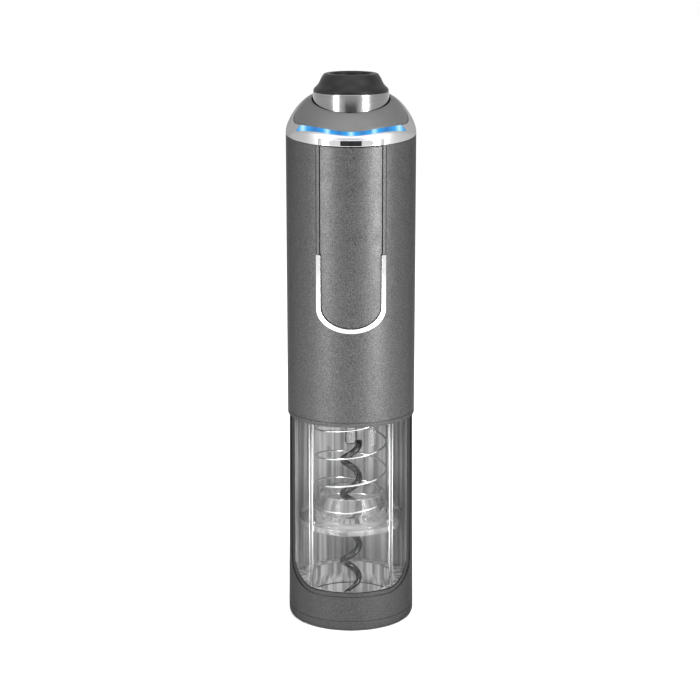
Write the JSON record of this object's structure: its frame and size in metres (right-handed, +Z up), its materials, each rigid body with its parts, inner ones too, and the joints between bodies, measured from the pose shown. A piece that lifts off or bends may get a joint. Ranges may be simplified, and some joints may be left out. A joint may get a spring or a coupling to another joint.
{
  "type": "electric wine opener",
  "caption": "Upright cordless wine opener: round gray casing, front paddle, windowed cork chamber with worm and sliding bottle guide, and a suction nozzle on a slanted head.",
  "frame": {"origin": "centre of the foot's underside", "axes": "+Z up along the worm, -Y towards the front"},
  "size_m": [0.0582, 0.0585, 0.252],
  "materials": {
    "body_paint": "metallic gray paint, satin",
    "sleeve_gray": "satin gray plastic",
    "satin_silver": "satin silver",
    "bright_chrome": "polished",
    "plate_gray": "satin gray",
    "blue_light": "blue light guide",
    "collar_steel": "brushed round",
    "nozzle_rubber": "soft black",
    "clear_plastic": "clear moulded plastic",
    "frosted_plastic": "clear moulded plastic, lightly frosted",
    "spring_steel": "drawn wire",
    "worm_steel": "dark non-stick coating, glossy",
    "pin_steel": "turned",
    "zinc_steel": "zinc plated",
    "dark_plastic": "moulded",
    "inner_plastic": "moulded",
    "gear_white": "natural acetal",
    "bush_brass": "sintered",
    "motor_steel": "plated can",
    "cell_wrap": "shrink wrap",
    "board_green": "solder mask",
    "copper_strip": "nickel strip",
    "valve_rubber": "silicone"
  },
  "bodies": {
    "casing": {"battery_cell_1": "cell_wrap", "battery_cell_2": "cell_wrap", "battery_cell_3": "cell_wrap", "battery_cell_4": "cell_wrap", "battery_contacts": "copper_strip", "body_shell": "body_paint", "chamber_ceiling": "inner_plastic", "charging_socket": "dark_plastic", "check_valve": "valve_rubber", "clear_tube": "clear_plastic", "deck_screws": "zinc_steel", "foot_ring": "sleeve_gray", "front_cap": "bright_chrome", "function_switches": "dark_plastic", "gear_cover": "inner_plastic", "gear_housing": "inner_plastic", "guide_spring": "spring_steel", "head_screws": "zinc_steel", "housing_screws": "zinc_steel", "led_light_guide": "blue_light", "main_board": "board_green", "motor_can": "motor_steel", "motor_end_cap": "dark_plastic", "neck_collar": "inner_plastic", "nozzle_seat": "inner_plastic", "output_bush": "bush_brass", "paddle_pin": "pin_steel", "paddle_spring": "spring_steel", "paddle_trim": "bright_chrome", "plunger_spring": "valve_rubber", "pump_head": "dark_plastic", "pump_motor": "motor_steel", "status_leds": "gear_white", "steel_collar": "collar_steel", "top_plate": "plate_gray", "trim_bezel": "satin_silver", "upper_deck": "inner_plastic", "vacuum_nozzle": "nozzle_rubber", "vacuum_switch": "dark_plastic", "window_sleeve": "sleeve_gray"},
    "drive_output": {"output_carrier": "zinc_steel", "worm": "worm_steel", "worm_chuck": "pin_steel"},
    "first_carrier_body": {"first_carrier": "gear_white"},
    "rotor": {"motor_rotor": "zinc_steel"},
    "guide": {"bottle_guide": "frosted_plastic"},
    "paddle": {"front_paddle": "body_paint"},
    "plunger": {"nozzle_plunger": "dark_plastic"},
    "vacuum_rotor": {"pump_rotor": "zinc_steel"},
    "first_planet_body_1": {"first_planet_1": "gear_white"},
    "second_planet_body_1": {"second_planet_1": "gear_white"},
    "first_planet_body_2": {"first_planet_2": "gear_white"},
    "second_planet_body_2": {"second_planet_2": "gear_white"},
    "first_planet_body_3": {"first_planet_3": "gear_white"},
    "second_planet_body_3": {"second_planet_3": "gear_white"}
  },
  "joints": [
    {"name": "worm_spin", "type": "hinge", "parent": "casing", "child": "drive_output", "pos_m": [0, 0, 0.09], "axis": [0, 0, 1], "continuous": true},
    {"name": "first_carrier_spin", "type": "hinge", "parent": "casing", "child": "first_carrier_body", "pos_m": [0, 0, 0.116], "axis": [0, 0, 1], "continuous": true},
    {"name": "rotor_spin", "type": "hinge", "parent": "casing", "child": "rotor", "pos_m": [0, 0, 0.14], "axis": [0, 0, 1], "continuous": true},
    {"name": "guide_slide", "type": "slide", "parent": "casing", "child": "guide", "axis": [0, 0, 1], "range_m": [0, 0.026], "stiffness_N_per_m": 60, "springref_m": -0.012, "deforming": ["guide_spring"]},
    {"name": "paddle_press", "type": "hinge", "parent": "casing", "child": "paddle", "pos_m": [0, -0.0214, 0.214], "axis": [1, 0, 0], "range_deg": [0, 1.2], "stiffness_Nm_per_rad": 2, "springref_deg": -2.86},
    {"name": "plunger_press", "type": "slide", "parent": "casing", "child": "plunger", "axis": [0, 0, -1], "range_m": [0, 0.0025], "stiffness_N_per_m": 400, "springref_m": -0.003, "deforming": ["plunger_spring"]},
    {"name": "vacuum_rotor_spin", "type": "hinge", "parent": "casing", "child": "vacuum_rotor", "pos_m": [0, 0, 0.19], "axis": [0, 0, 1], "continuous": true},
    {"name": "second_planet_spin_1", "type": "hinge", "parent": "drive_output", "child": "second_planet_body_1", "pos_m": [0.0105, 0, 0.1106], "axis": [0, 0, 1], "continuous": true},
    {"name": "first_planet_spin_1", "type": "hinge", "parent": "first_carrier_body", "child": "first_planet_body_1", "pos_m": [0.0105, 0, 0.1216], "axis": [0, 0, 1], "continuous": true},
    {"name": "second_planet_spin_2", "type": "hinge", "parent": "drive_output", "child": "second_planet_body_2", "pos_m": [-0.00525, 0.00909, 0.1106], "axis": [0, 0, 1], "continuous": true},
    {"name": "first_planet_spin_2", "type": "hinge", "parent": "first_carrier_body", "child": "first_planet_body_2", "pos_m": [-0.00525, 0.00909, 0.1216], "axis": [0, 0, 1], "continuous": true},
    {"name": "second_planet_spin_3", "type": "hinge", "parent": "drive_output", "child": "second_planet_body_3", "pos_m": [-0.00525, -0.00909, 0.1106], "axis": [0, 0, 1], "continuous": true},
    {"name": "first_planet_spin_3", "type": "hinge", "parent": "first_carrier_body", "child": "first_planet_body_3", "pos_m": [-0.00525, -0.00909, 0.1216], "axis": [0, 0, 1], "continuous": true}
  ],
  "couplings": [
    {"joint": "first_carrier_spin", "follows": "worm_spin", "ratio": 5},
    {"joint": "rotor_spin", "follows": "worm_spin", "ratio": 25},
    {"joint": "second_planet_spin_1", "follows": "worm_spin", "ratio": -2.6667},
    {"joint": "first_planet_spin_1", "follows": "worm_spin", "ratio": -13.333},
    {"joint": "second_planet_spin_2", "follows": "worm_spin", "ratio": -2.6667},
    {"joint": "first_planet_spin_2", "follows": "worm_spin", "ratio": -13.333},
    {"joint": "second_planet_spin_3", "follows": "worm_spin", "ratio": -2.6667},
    {"joint": "first_planet_spin_3", "follows": "worm_spin", "ratio": -13.333}
  ]
}
